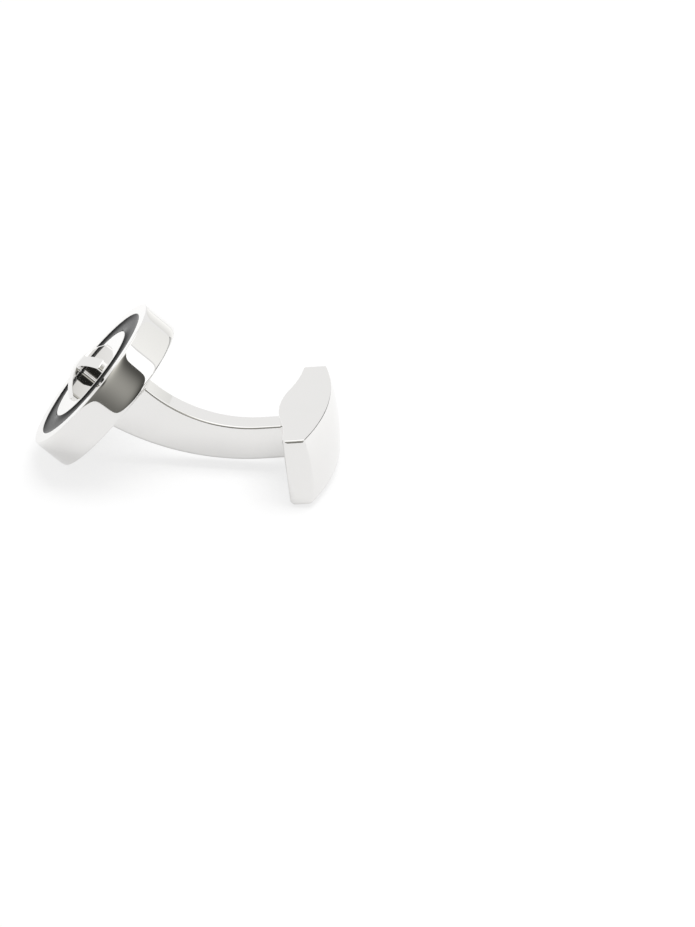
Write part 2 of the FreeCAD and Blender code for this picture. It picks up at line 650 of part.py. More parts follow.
sk.addConstraint(Sketcher.Constraint("Coincident", inner, arc_end(inner, tip_up), up_line, 2))
sk.addConstraint(Sketcher.Constraint("Coincident", inner, arc_end(inner, mirrored(tip_up)), low_line, 2))
radius_of(sk, outer, "spring_radius")
radius_of(sk, inner, "spring_inner")
pad(leaf, sk, "leaf_strip", "spring_wide", centred=True)
place(leaf, "bar_x", "bar_z", "bar_tilt")

doc.recompute()
bodies = [cup, ring, plate, dome, screw, foot, post, bar, cap, pin, leaf]
for obj in doc.Objects:
    if "Invalid" in obj.State or "Error" in obj.State:
        raise RuntimeError("%s does not build" % obj.Label)
for body in bodies:
    if body.Shape.isNull() or not body.Shape.isValid() or len(body.Shape.Solids) != 1:
        raise RuntimeError("%s is not one valid solid" % body.Label)
    body.Shape.exportStep("parts/%s.step" % body.Label)
    print(body.Label, round(body.Shape.Volume, 3))
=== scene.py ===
import math

import bmesh
import bpy
from mathutils import Matrix, Quaternion, Vector


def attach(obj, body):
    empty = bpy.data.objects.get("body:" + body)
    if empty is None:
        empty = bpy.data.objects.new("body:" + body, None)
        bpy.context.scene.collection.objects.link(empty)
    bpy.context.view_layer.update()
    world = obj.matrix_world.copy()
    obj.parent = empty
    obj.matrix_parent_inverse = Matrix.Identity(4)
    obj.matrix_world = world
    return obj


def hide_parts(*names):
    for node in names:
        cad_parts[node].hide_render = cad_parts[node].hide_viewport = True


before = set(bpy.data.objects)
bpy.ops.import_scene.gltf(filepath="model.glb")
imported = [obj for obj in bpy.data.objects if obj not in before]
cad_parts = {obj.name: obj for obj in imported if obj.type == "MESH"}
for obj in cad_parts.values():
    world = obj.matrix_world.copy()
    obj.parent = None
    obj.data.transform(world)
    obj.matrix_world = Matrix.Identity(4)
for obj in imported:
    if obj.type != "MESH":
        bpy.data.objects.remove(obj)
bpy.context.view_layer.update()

# Face cup
# The round face is one turned cup of white brass, with a tray for the enamel and the centre plate.
# It is buffed to a mirror and rhodium plated; buffing rolls the side gently over at both rims.
MM = 0.001
face_x = -6.5954
face_z = 6.5711
face_tilt = 51.5
face_rad = 8.5
face_thick = 3.55
tray_floor = 2.45
ring_outer = 7.25
cup_bore = 0.5
cup_mid = 4.0
screw_head = 1.1
screw_neck = 1.85
front_roll = 0.083
back_roll = 0.1
roll_reach = 0.22
rim_round = 0.129
rim_steps = 9
front_lean = 13.5
back_lean = 16.5
side_margin = 0.1
side_steps = 48
lip_round = 0.06
lip_steps = 5
turned_steps = 288
crease_angle = 32.0
# An extra point this far from a rounding keeps the flat beside it flat.
flat_hold = 0.04


def leaning_frame(x, z, tilt):
    """A piece's own frame in the plane y = 0: its place in millimetres, and its lean in degrees."""
    return Matrix.Translation((x * MM, 0.0, z * MM)) @ Matrix.Rotation(math.radians(-tilt), 4, "Y")


def arc(centre, radius, start, stop, steps):
    """Points on a circle, from one angle in degrees to another."""
    angles = [math.radians(start + (stop - start) * i / steps) for i in range(steps + 1)]
    return [(centre[0] + radius * math.cos(a), centre[1] + radius * math.sin(a)) for a in angles]


def plain_mesh(name, bm):
    """The finished mesh, with all its faces pointing outwards."""
    bmesh.ops.recalc_face_normals(bm, faces=bm.faces)
    mesh = bpy.data.meshes.new(name)
    bm.to_mesh(mesh)
    bm.free()
    return mesh


def turned(name, outline):
    """Ring turned about the piece's own Z from a closed outline of (radius, height) points."""
    bm = bmesh.new()
    rings = []
    for i in range(turned_steps):
        angle = 2 * math.pi * i / turned_steps
        rings.append([bm.verts.new((r * math.cos(angle), r * math.sin(angle), z)) for r, z in outline])
    for here, there in zip(rings, rings[1:] + rings[:1]):
        for j in range(len(outline)):
            k = (j + 1) % len(outline)
            bm.faces.new((here[j], there[j], there[k], here[k]))
    return plain_mesh(name, bm)


def linear(hex_text):
    """An sRGB hex colour as linear RGBA."""
    parts = [int(hex_text[i:i + 2], 16) / 255 for i in (1, 3, 5)]
    return tuple(p / 12.92 if p <= 0.04045 else ((p + 0.055) / 1.055) ** 2.4 for p in parts) + (1.0,)


def add(tree, kind, settings=(), **inputs):
    """One node with its settings and inputs.

    An input goes by its socket's name, or by n and the socket's number, and is a value or a socket to link.
    """
    node = tree.nodes.new(kind)
    for key, value in dict(settings).items():
        setattr(node, key, value)
    for key, value in inputs.items():
        numbered = key[0] == "n" and key[1:].isdigit()
        socket = node.inputs[int(key[1:]) if numbered else key.replace("_", " ")]
        if isinstance(value, bpy.types.NodeSocket):
            tree.links.new(value, socket)
        else:
            socket.default_value = value
    return node


def new_material(name):
    """An empty node material and its output."""
    material = bpy.data.materials.new(name)
    material.use_nodes = True
    tree = material.node_tree
    tree.nodes.clear()
    return material, tree, add(tree, "ShaderNodeOutputMaterial")


def place_piece(name, mesh, where, material, body, node):
    """Sets a mesh made in millimetres into the shared frame, finishes it and has it stand for its node."""
    mesh.transform(where @ Matrix.Scale(MM, 4))
    mesh.polygons.foreach_set("use_smooth", [True] * len(mesh.polygons))
    mesh.set_sharp_from_angle(angle=math.radians(crease_angle))
    mesh.materials.clear()
    mesh.materials.append(material)
    piece = bpy.data.objects.new(name, mesh)
    bpy.context.scene.collection.objects.link(piece)
    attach(piece, body)
    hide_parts(node)


# Rhodium plate over buffed brass: a bright, faintly warm mirror. Cloth wiping leaves soft haze patches
# about 5 mm wide, and buffing leaves the surface very slightly wavy over about 1.5 mm.
haze_wide = 5.0
wave_wide = 1.5
wave_deep = 0.0012
rhodium, tree, out = new_material("rhodium_plate_mirror_buffed")
coords = add(tree, "ShaderNodeTexCoord").outputs["Object"]
haze = add(tree, "ShaderNodeTexNoise", Vector=coords, Scale=1 / (haze_wide * MM), Detail=3.0, Roughness=0.55)
haze_range = add(tree, "ShaderNodeMapRange", Value=haze.outputs["Fac"], From_Min=0.3, From_Max=0.75,
                 To_Min=0.022, To_Max=0.055)
wave = add(tree, "ShaderNodeTexNoise", Vector=coords, Scale=1 / (wave_wide * MM), Detail=1.0, Roughness=0.4)
buff = add(tree, "ShaderNodeBump", Height=wave.outputs["Fac"], Strength=0.5, Distance=wave_deep * MM)
tint = add(tree, "ShaderNodeMix", {"data_type": "RGBA"}, Factor=haze.outputs["Fac"],
           n6=linear("#EFEEEC"), n7=linear("#F2F1F0"))
plate = add(tree, "ShaderNodeBsdfPrincipled", Base_Color=tint.outputs[2], Metallic=1.0,
            Roughness=haze_range.outputs["Result"], Normal=buff.outputs["Normal"])
tree.links.new(plate.outputs["BSDF"], out.inputs["Surface"])


def rolled_side(low, high):
    """Cup side from near the back to near the front, rolled over a little more towards each rim."""
    points = []
    for i in range(side_steps + 1):
        z = low + (high - low) * (1 - math.cos(math.pi * i / side_steps)) / 2
        drop = front_roll * math.exp(-(face_thick - z) / roll_reach) + back_roll * math.exp(-z / roll_reach)
        points.append((face_rad - drop, z))
    return points


face_frame = leaning_frame(face_x, face_z, face_tilt)
side = rolled_side(side_margin, face_thick - side_margin)
front_mid = (side[-1][0] - rim_round * math.cos(math.radians(front_lean)), face_thick - rim_round)
back_mid = (side[0][0] - rim_round * math.cos(math.radians(back_lean)), rim_round)
lip_mid = (ring_outer + lip_round, face_thick - lip_round)
cup_outline = [(cup_bore, 0.0), (cup_mid, 0.0), (back_mid[0] - flat_hold, 0.0)]
cup_outline += arc(back_mid, rim_round, -90, -back_lean, rim_steps)[:-1]
cup_outline += side
cup_outline += arc(front_mid, rim_round, front_lean, 90, rim_steps)[1:]
cup_outline += [(front_mid[0] - flat_hold, face_thick), (lip_mid[0] + flat_hold, face_thick)]
cup_outline += arc(lip_mid, lip_round, 90, 180, lip_steps)
cup_outline += [(ring_outer, lip_mid[1] - lip_round), (ring_outer, tray_floor)]
cup_outline += [(screw_head, tray_floor), (cup_bore, screw_neck)]
rim_cup = turned("rim_cup", cup_outline)
place_piece("rim_cup", rim_cup, face_frame, rhodium, "face", "face_cup")

# Enamel ring
# Black cold enamel, poured into the tray between rim and centre plate to just below their level.
# It cures to a glassy skin and creeps up both walls, so that its top is hollow across the ring.
ring_inner = 5.1
enamel_top = 3.35
creep = 0.17
creep_power = 3
sag = 0.02
hollow_steps = 32

# Cured resin: near black and glossy. Its skin is a little uneven over about 1.2 mm, and fine dust
# a quarter of a millimetre apart dulls it in places.
skin_wide = 1.2
skin_deep = 0.0008
dust_wide = 0.25
enamel, tree, out = new_material("black_cold_enamel_poured")
coords = add(tree, "ShaderNodeTexCoord").outputs["Object"]
skin = add(tree, "ShaderNodeTexNoise", Vector=coords, Scale=1 / (skin_wide * MM), Detail=2.0, Roughness=0.5)
dust = add(tree, "ShaderNodeTexNoise", Vector=coords, Scale=1 / (dust_wide * MM), Detail=2.0, Roughness=0.6)
skin_bump = add(tree, "ShaderNodeBump", Height=skin.outputs["Fac"], Strength=0.5, Distance=skin_deep * MM)
dust_range = add(tree, "ShaderNodeMapRange", Value=dust.outputs["Fac"], From_Min=0.4, From_Max=0.8,
                 To_Min=0.12, To_Max=0.18)
depth = add(tree, "ShaderNodeMix", {"data_type": "RGBA"}, Factor=skin.outputs["Fac"],
            n6=linear("#060606"), n7=linear("#0B0B0C"))
glaze = add(tree, "ShaderNodeBsdfPrincipled", Base_Color=depth.outputs[2], IOR=1.1,
            Roughness=dust_range.outputs["Result"], Normal=skin_bump.outputs["Normal"])
tree.links.new(glaze.outputs["BSDF"], out.inputs["Surface"])

enamel_outline = [(ring_inner, tray_floor), (ring_outer, tray_floor)]
for i in range(hollow_steps + 1):
    across = i / hollow_steps
    meniscus = creep * abs(2 * across - 1) ** creep_power
    enamel_outline.append((ring_outer + (ring_inner - ring_outer) * across, enamel_top - sag + meniscus))
enamel_band = turned("enamel_band", enamel_outline)
place_piece("enamel_band", enamel_band, face_frame, enamel, "face", "enamel_ring")

# Centre plate
# A flat disc of the same plated brass, pressed into the enamel's bore and lapped level with the rim.
# Its edge is broken by a hair so that it shows as one fine bright line against the black.
stud_rad = 0.8
plate_mid = 3.0
plate_edge = 0.05
plate_edge_steps = 5
plate_hold = 0.03
plate_in = ring_inner - plate_edge
plate_under = face_thick - plate_edge
plate_outline = [(stud_rad, tray_floor), (ring_inner, tray_floor), (ring_inner, plate_under)]
plate_outline += arc((plate_in, plate_under), plate_edge, 0, 90, plate_edge_steps)[1:]
plate_outline += [(plate_in - plate_hold, face_thick), (plate_mid, face_thick), (stud_rad, face_thick)]
centre_disc = turned("centre_disc", plate_outline)
place_piece("centre_disc", centre_disc, face_frame, rhodium, "face", "centre_plate")

# Finned dome
# A cast boss in the middle: four upright fins under one round top, with a rounded flute between neighbours.
# One fin with half a flute on each side is drawn, and a node tree sets the others round the stud.
dome_rad = 3.3
dome_rise = 1.45
dome_high = 1.7
fin_count = 4
fin_turn = 48.0
fin_half = 0.58
fin_corner = 0.2
fin_edge = 0.07
fin_edge_hold = 0.015
flute_root = 0.3
weld_gap = 0.0005
tip_steps = 5
fin_corner_steps = 7
fin_wall_steps = 14
flute_steps = 10
fin_edge_steps = 6
dome_steps = 22
half_step = 180.0 / fin_count
sphere_rad = (dome_rad ** 2 + dome_rise ** 2) / (2 * dome_rise)
sphere_mid = face_thick + dome_high - sphere_rad


def dome_height(x, y):
    """Height of the round top over one place in the plan."""
    return sphere_mid + math.sqrt(sphere_rad ** 2 - x * x - y * y)


def fin_plan(inset):
    """Half of one fin's plan from its tip round to the flute's middle, drawn in by the inset."""
    corner_x = math.sqrt((dome_rad - fin_corner) ** 2 - (fin_half - fin_corner) ** 2)
    corner_mid = (corner_x, fin_half - fin_corner)
    corner_dir = math.degrees(math.atan2(corner_mid[1], corner_mid[0]))
    root_far = (fin_half + flute_root) / math.sin(math.radians(half_step))
    root_mid = (root_far * math.cos(math.radians(half_step)), root_far * math.sin(math.radians(half_step)))
    wall_run = root_mid[0] - corner_x
    plan = arc((0, 0), dome_rad - inset, 0, corner_dir, tip_steps)
    plan += arc(corner_mid, fin_corner - inset, corner_dir, 90, fin_corner_steps)[1:]
    for i in range(1, fin_wall_steps):
        plan.append((corner_x + wall_run * i / fin_wall_steps, fin_half - inset))
    plan += arc(root_mid, flute_root + inset, -90, half_step - 180, flute_steps)
    return plan


def whole_fin(inset):
    """Both halves of a fin's plan, from one flute's middle to the next."""
    half = fin_plan(inset)
    return [(x, -y) for x, y in reversed(half[1:])] + half


bm = bmesh.new()
levels = [[(x, y, face_thick) for x, y in whole_fin(0)]]
levels.append([(x, y, dome_height(x, y) - fin_edge - fin_edge_hold) for x, y in whole_fin(0)])
for i in range(fin_edge_steps + 1):
    turn = math.radians(90 * i / fin_edge_steps)
    inset = fin_edge * (1 - math.cos(turn))
    below = fin_edge * (1 - math.sin(turn))
    levels.append([(x, y, dome_height(x, y) - below) for x, y in whole_fin(inset)])
for i in range(1, dome_steps):
    share = 1 - i / dome_steps
    plan = [(x * share, y * share) for x, y in whole_fin(fin_edge)]
    levels.append([(x, y, dome_height(x, y)) for x, y in plan])
rows = [[bm.verts.new(p) for p in level] for level in levels]
for low, high in zip(rows, rows[1:]):
    for j in range(len(low) - 1):
        bm.faces.new((low[j], low[j + 1], high[j + 1], high[j]))
apex = bm.verts.new((0, 0, dome_height(0, 0)))
for j in range(len(rows[-1]) - 1):
    bm.faces.new((rows[-1][j], rows[-1][j + 1], apex))
fin_mesh = plain_mesh("fin", bm)

tree = bpy.data.node_groups.new("fins_round_a_stud", "GeometryNodeTree")
tree.interface.new_socket("Geometry", in_out="INPUT", socket_type="NodeSocketGeometry")
count_id = tree.interface.new_socket("Fin Count", in_out="INPUT", socket_type="NodeSocketInt").identifier
turn_id = tree.interface.new_socket("First Turn", in_out="INPUT", socket_type="NodeSocketFloat").identifier
step_id = tree.interface.new_socket("Turn Step", in_out="INPUT", socket_type="NodeSocketFloat").identifier
finish_id = tree.interface.new_socket("Finish", in_out="INPUT", socket_type="NodeSocketMaterial").identifier
tree.interface.new_socket("Geometry", in_out="OUTPUT", socket_type="NodeSocketGeometry")
given = add(tree, "NodeGroupInput").outputs
spots = add(tree, "GeometryNodePoints", Count=given["Fin Count"])
order = add(tree, "GeometryNodeInputIndex")
stepped = add(tree, "ShaderNodeMath", {"operation": "MULTIPLY_ADD"}, n0=order.outputs[0],
              n1=given["Turn Step"], n2=given["First Turn"])
about_z = add(tree, "ShaderNodeCombineXYZ", Z=stepped.outputs[0])
fins = add(tree, "GeometryNodeInstanceOnPoints", Points=spots.outputs[0], Instance=given["Geometry"],
           Rotation=about_z.outputs[0])
real = add(tree, "GeometryNodeRealizeInstances", Geometry=fins.outputs[0])
welded = add(tree, "GeometryNodeMergeByDistance", Geometry=real.outputs[0], Distance=weld_gap)
finished = add(tree, "GeometryNodeSetMaterial", Geometry=welded.outputs[0], Material=given["Finish"])
add(tree, "NodeGroupOutput", Geometry=finished.outputs[0])

fin_maker = bpy.data.objects.new("fin_maker", fin_mesh)
bpy.context.scene.collection.objects.link(fin_maker)
ring_of_fins = fin_maker.modifiers.new("fins", "NODES")
ring_of_fins.node_group = tree
ring_of_fins[count_id] = fin_count
ring_of_fins[turn_id] = math.radians(fin_turn)
ring_of_fins[step_id] = math.radians(360 / fin_count)
ring_of_fins[finish_id] = rhodium
seen = fin_maker.evaluated_get(bpy.context.evaluated_depsgraph_get())
dome_mesh = bpy.data.meshes.new_from_object(seen)
bpy.data.objects.remove(fin_maker)

# The fins leave the boss open underneath, so one face closes it where it sits on the plate.
bm = bmesh.new()
bm.from_mesh(dome_mesh)
bmesh.ops.contextual_create(bm, geom=[e for e in bm.edges if e.is_boundary])
bm.to_mesh(dome_mesh)
bm.free()
place_piece("fin_boss", dome_mesh, face_frame, rhodium, "face", "finned_dome")

# Post foot
# A small block between the cup's back and the post's root, keyed into both and clamped by the screw.
# Its upright corners are buffed soft together with the post.
foot_long = 4.5
foot_wide = 2.1
foot_high = 1.1
foot_round = 0.1
foot_steps = 5
least_round = 0.02
hold_share = 0.4


def rounded_box(half_a, half_b, inset, radius, steps):
    """Rectangle with round corners, as points round its edge, drawn in by the inset.

    A point close to each corner keeps the flats flat.
    """
    a, b = half_a - inset, half_b - inset
    r = max(radius - inset, least_round)
    hold = min(flat_hold, hold_share * (min(a, b) - r))
    corners = [(a - r, b - r), (r - a, b - r), (r - a, r - b), (a - r, r - b)]
    points = []
    for quarter, centre in enumerate(corners):
        start = 90 * quarter
        spin = Matrix.Rotation(math.radians(start), 2)
        turn = arc(centre, r, start, start + 90, steps)
        points.append(tuple(Vector(turn[0]) - spin @ Vector((0, hold))))
        points += turn
        points.append(tuple(Vector(turn[-1]) + spin @ Vector((-hold, 0))))
    return points


def close_ends(bm, first, last):
    """Flat ends on a loft, each with a narrow margin so that the rounding beside it stays off the flat."""
    ends = [bm.faces.new(list(reversed(first))), bm.faces.new(last)]
    bm.normal_update()
    bmesh.ops.inset_individual(bm, faces=ends, thickness=flat_hold)


def lofted(name, rows):
    """Skin through rows of equal length, each a closed loop of points."""
    bm = bmesh.new()
    loops = [[bm.verts.new(p) for p in row] for row in rows]
    for here, there in zip(loops, loops[1:]):
        for j in range(len(here)):
            k = (j + 1) % len(here)
            bm.faces.new((here[j], here[k], there[k], there[j]))
    close_ends(bm, loops[0], loops[-1])
    return plain_mesh(name, bm)


foot_plan = rounded_box(foot_long / 2, foot_wide / 2, 0, foot_round, foot_steps)
foot_block = lofted("foot_block", [[(x, y, z) for x, y in foot_plan] for z in (0.0, -foot_high)])
place_piece("foot_block", foot_block, face_frame, rhodium, "face", "post_foot")

# Post
# A flat-sided bar of plated brass, straight at the neck, bent edgewise towards the face and growing deeper
# to its root. Its neck ends in a round tongue on the pin, and its long edges are buffed to a fine radius.
bar_x = 9.3326
bar_z = 3.3553
bar_tilt = 7.6
neck_half = 1.7
neck_run = 2.0
neck_steps = 8
pin_depth = 1.2
tongue_from = 86
tongue_steps = 12
post_half = 1.25
post_edge = 0.24
post_edge_steps = 6
thin_edge_share = 0.6
post_reach = 14.6
post_rise = 4.5036
bend_steps = 72
root_deep = 5.0
root_swell = 0.38
root_round_from = 0.985
root_round_share = 0.85
root_round_steps = 5
bar_frame = leaning_frame(bar_x, bar_z, bar_tilt)
root_dir = math.radians(90 - face_tilt + bar_tilt)
root_along = Vector((math.sin(root_dir), math.cos(root_dir)))
root_mid = Vector((-post_reach, post_rise))
root_top = root_mid + root_along * (root_deep / 2 + root_swell)
root_low = root_mid - root_along * root_deep / 2
neck_top = Vector((-neck_run, neck_half))
neck_low = Vector((-neck_run, -neck_half))


def bend(start, end, share):
    """Point on the arc that leaves start straight along -X and reaches end."""
    rise, run = end.y - start.y, end.x - start.x
    radius = (run * run + rise * rise) / (2 * rise)
    angle = 2 * math.atan2(rise, -run) * share
    return Vector((start.x - radius * math.sin(angle), start.y + radius * (1 - math.cos(angle))))


def post_section(low, high, half_thick, inset):
    """Rounded rectangle between a low and a high point of the post's side view."""
    middle, reach = (low + high) / 2, (high - low) / 2
    up = reach.normalized()
    edge = min(post_edge, half_thick * thin_edge_share)
    loop = rounded_box(reach.length, half_thick, inset, edge, post_edge_steps)
    return [(middle.x + up.x * a, b, middle.y + up.y * a) for a, b in loop]


def neck_section(x, half_thick):
    """Section of the round tongue or the straight neck."""
    return post_section(Vector((x, -neck_half)), Vector((x, neck_half)), half_thick, 0)


def bend_section(share, inset):
    """Section of the bent stretch, a share of the way from neck to root."""
    low, high = bend(neck_low, root_low, share), bend(neck_top, root_top, share)
    return post_section(low, high, post_half, inset)


post_rows = []
for i in range(tongue_steps + 1):
    angle = math.radians(tongue_from * (1 - i / tongue_steps))
    post_rows.append(neck_section(pin_depth + post_half * math.sin(angle), post_half * math.cos(angle)))
for i in range(1, neck_steps + 1):
    post_rows.append(neck_section(pin_depth - (pin_depth + neck_run) * i / neck_steps, post_half))
for i in range(1, bend_steps + 1):
    post_rows.append(bend_section(root_round_from * i / bend_steps, 0))
for i in range(1, root_round_steps + 1):
    turn = math.radians(90 * i / root_round_steps)
    share = root_round_from + (1 - root_round_from) * math.sin(turn)
    post_rows.append(bend_section(share, post_edge * (1 - math.cos(turn)) * root_round_share))
curved_post = lofted("curved_post", post_rows)
place_piece("curved_post", curved_post, bar_frame, rhodium, "face", "post")

# Swivel bar
# A boat-shaped body with flat sides and a low hump where the pin crosses it, milled through with a window
# for the post. The crowned cap is soldered over its back and buffed with it, so that no seam is left to see.
bar_half = 8.5
bar_side = 3.4
bar_end_in = 1.3
bar_out = 4.8
bar_corner = 0.5
bar_edge = 0.14
low_edge = 0.42
end_edge = 0.3
hump_half = 3.4
crown_radius = 26.8
cross_crown = 0.35
cap_thick = 0.65
window_half = 5.0
slot_half = 1.82
window_steps = 28
flank_steps = 12
corner_stops = 6
end_edge_stops = 4
corner_steps = 7
same_place = 1e-6
crown_mid = bar_out - crown_radius
shell_radius = crown_radius - cap_thick
hump_slope = bar_end_in / bar_half
joint_x = hump_slope * hump_half
hump_radius = (joint_x ** 2 + hump_half ** 2) / (2 * joint_x)
flank_rise, flank_run = bar_end_in - joint_x, bar_half - hump_half
flank_radius = (flank_rise ** 2 + flank_run ** 2) / (2 * flank_rise)


def end_drop(y, radius):
    """How far a rounding of this radius at the bar's ends has drawn in at y."""
    into = abs(y) - (bar_half - radius)
    return radius - math.sqrt(max(radius ** 2 - into ** 2, 0)) if into > 0 else 0.0


def inner_side(y):
    """Distance of the bar's inner side from the hump's top, with the rounded corner at its ends."""
    if abs(y) < hump_half:
        level = hump_radius - math.sqrt(hump_radius ** 2 - y * y)
    else:
        level = bar_end_in - flank_radius + math.sqrt(flank_radius ** 2 - (bar_half - abs(y)) ** 2)
    return level + end_drop(y, bar_corner)


def shell_side(y):
    """Distance of the seam between body and cap from the hump's top."""
    return crown_mid + math.sqrt(shell_radius ** 2 - y * y)


# Places along the bar stand close together at its ends, and one lies at each end of the window.
corner_from = bar_half - bar_corner
half_bar = [window_half * i / window_steps for i in range(window_steps + 1)]
for i in range(1, flank_steps + 1):
    half_bar.append(window_half + (corner_from - window_half) * i / flank_steps)
for i in range(1, corner_stops + 1):
    turn = math.radians(90 * i / corner_stops)
    half_bar.append(corner_from + (bar_corner - end_edge) * math.sin(turn))
for i in range(1, end_edge_stops + 1):
    turn = math.radians(90 * i / end_edge_stops)
    half_bar.append(bar_half - end_edge * (1 - math.sin(turn)))
stations = [-s for s in reversed(half_bar[1:])] + half_bar

bm = bmesh.new()
loops = []
for y in stations:
    x_in, x_out = inner_side(y), shell_side(y)
    top = bar_side - end_drop(y, end_edge)
    low_corner = arc((x_in + low_edge, low_edge - top), low_edge, 270, 180, corner_steps)
    high_corner = arc((x_in + bar_edge, top - bar_edge), bar_edge, 180, 90, corner_steps)
    loop = [(x_in + low_edge + flat_hold, -top)] + low_corner + [(x_in, low_edge - top + flat_hold)]
    loop += [(x_in, -slot_half), (x_in, slot_half)]
    loop += [(x_in, top - bar_edge - flat_hold)] + high_corner + [(x_in + bar_edge + flat_hold, top)]
    loop += [(x_out, top), (x_out, slot_half), (x_out, -slot_half), (x_out, -top)]
    loops.append([bm.verts.new((x, y, z)) for x, z in loop])

# The window's four long edges are points of every loop. Between its ends their strips are left out and
# walls joined through the body instead, and a wall closes each end.
size = len(loops[0])
low_in, high_in = corner_steps + 3, corner_steps + 4
high_out, low_out = size - 3, size - 2
for here, there, y_a, y_b in zip(loops, loops[1:], stations, stations[1:]):
    in_window = abs(y_a + y_b) / 2 < window_half
    for j in range(size):
        k = (j + 1) % size
        if in_window and j in (low_in, high_out):
            continue
        bm.faces.new((here[j], here[k], there[k], there[j]))
    if in_window:
        bm.faces.new((here[low_in], there[low_in], there[low_out], here[low_out]))
        bm.faces.new((here[high_in], here[high_out], there[high_out], there[high_in]))
for y, loop in zip(stations, loops):
    if abs(abs(y) - window_half) < same_place:
        bm.faces.new((loop[low_in], loop[high_in], loop[high_out], loop[low_out]))
close_ends(bm, loops[0], loops[-1])
bar_body = plain_mesh("bar_body", bm)
place_piece("bar_body", bar_body, bar_frame, rhodium, "toggle", "toggle_body")

# Bar cap
# The bar's outer shell, rolled to a long shallow curve and crowned a little across, then soldered on and
# buffed. Its face is left plain.
cap_round = 0.28
cap_steps = 24
cross_radius = (bar_side ** 2 + cross_crown ** 2) / (2 * cross_crown)


def crown_side(y, z):
    """Distance of the cap's outer face from the hump's top."""
    ring = crown_radius + cross_crown - cross_radius + math.sqrt(cross_radius ** 2 - z * z)
    return crown_mid + math.sqrt(ring ** 2 - y * y)


cap_rows = []
for y in stations:
    x_in = shell_side(y)
    top = bar_side - end_drop(y, end_edge)
    drop = end_drop(y, cap_round)
    outer = []
    for i in range(cap_steps + 1):
        z = top - bar_edge - (2 * top - bar_edge - low_edge) * i / cap_steps
        outer.append((crown_side(y, z) - drop, z))
    high_corner = arc((outer[0][0] - bar_edge, top - bar_edge), bar_edge, 90, 0, corner_steps)[:-1]
    low_corner = arc((outer[-1][0] - low_edge, low_edge - top), low_edge, 0, -90, corner_steps)[1:]
    loop = [(x_in, -top), (x_in, top)] + high_corner + outer + low_corner
    cap_rows.append([(x, y, z) for x, z in loop])
bar_cap = lofted("bar_cap", cap_rows)
place_piece("bar_cap", bar_cap, bar_frame, rhodium, "toggle", "toggle_cap")

# Hidden steel
# The post screw under the centre plate, the pin through bar and post, and the bowed drag spring in the bar.
# All are plain turned or rolled steel, left as machined with a fine uneven grain, and keep their own solids.
grain_wide = 0.15
steel, tree, out = new_material("plain_turned_steel")
coords = add(tree, "ShaderNodeTexCoord").outputs["Object"]
grain = add(tree, "ShaderNodeTexNoise", Vector=coords, Scale=1 / (grain_wide * MM), Detail=3.0, Roughness=0.6)
rough = add(tree, "ShaderNodeMapRange", Value=grain.outputs["Fac"], From_Min=0.3, From_Max=0.7,
            To_Min=0.25, To_Max=0.42)
shade = add(tree, "ShaderNodeMix", {"data_type": "RGBA"}, Factor=grain.outputs["Fac"],
            n6=linear("#B9B8B6"), n7=linear("#CFCECC"))
bare = add(tree, "ShaderNodeBsdfPrincipled", Base_Color=shade.outputs[2], Metallic=1.0,
           Roughness=rough.outputs["Result"])
tree.links.new(bare.outputs["BSDF"], out.inputs["Surface"])
for node in ("post_screw", "pivot_pin", "drag_spring"):
    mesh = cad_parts[node].data
    mesh.materials.clear()
    mesh.materials.append(steel)

# Table
# A wide white sheet. The camera sees it brought up to plain white with a soft shadow left in it, and polished
# metal sees it with a painted shadow under the post and painted light a little brighter behind the piece than
# in front.
sheet_half = 3.0
sheet_front = 0.84
sheet_back = 1.1
front_line = -15
back_line = 40
# Place, spread and depth of the painted shadow under the post, which only reflections see.
post_mid = 1.5
post_squeeze = 0.75
painted_shadow_from = 3
painted_shadow_to = 10
painted_shadow_level = 0.62
camera_level = 1.03
shadow_share = 0.3
metal_share = 0.55
smooth = {"interpolation_type": "SMOOTHSTEP"}
paper, tree, out = new_material("white_matt_sheet")
ray = add(tree, "ShaderNodeLightPath")
matt = add(tree, "ShaderNodeBsdfDiffuse", Color=linear("#F2F2F2"))
coords = add(tree, "ShaderNodeTexCoord").outputs["Object"]
where = add(tree, "ShaderNodeSeparateXYZ", Vector=coords)
# Painted light: for reflections the sheet's glow rises from sheet_front at the front line to sheet_back at
# the back line.
rear = add(tree, "ShaderNodeMapRange", Value=where.outputs["Y"], From_Min=front_line * MM,
           From_Max=back_line * MM, To_Min=sheet_front, To_Max=sheet_back)
# Painted shadow: for reflections the sheet's glow is lowered in a soft patch under the post.
under_post = add(tree, "ShaderNodeMapping", Vector=coords, Location=(-post_mid * MM, 0, 0),
                 Scale=(post_squeeze, 1, 0))
off_post = add(tree, "ShaderNodeVectorMath", {"operation": "LENGTH"}, n0=under_post.outputs[0])
painted_post_shadow = add(tree, "ShaderNodeMapRange", smooth, Value=off_post.outputs["Value"], From_Min=painted_shadow_from * MM,
          From_Max=painted_shadow_to * MM, To_Min=painted_shadow_level, To_Max=1.0)
mirrored = add(tree, "ShaderNodeMath", {"operation": "MULTIPLY"}, n0=rear.outputs["Result"],
               n1=painted_post_shadow.outputs["Result"])
level = add(tree, "ShaderNodeMix", {"data_type": "FLOAT"}, Factor=ray.outputs["Is Camera Ray"],
            A=mirrored.outputs[0], B=camera_level)
glow = add(tree, "ShaderNodeEmission", Color=linear("#FFFFFF"), Strength=level.outputs[0])
seen_share = add(tree, "ShaderNodeMath", {"operation": "MULTIPLY"}, n0=ray.outputs["Is Camera Ray"],
                 n1=1 - shadow_share)
mirror_share = add(tree, "ShaderNodeMath", {"operation": "MULTIPLY_ADD"}, n0=ray.outputs["Is Glossy Ray"],
                   n1=metal_share, n2=seen_share.outputs[0])
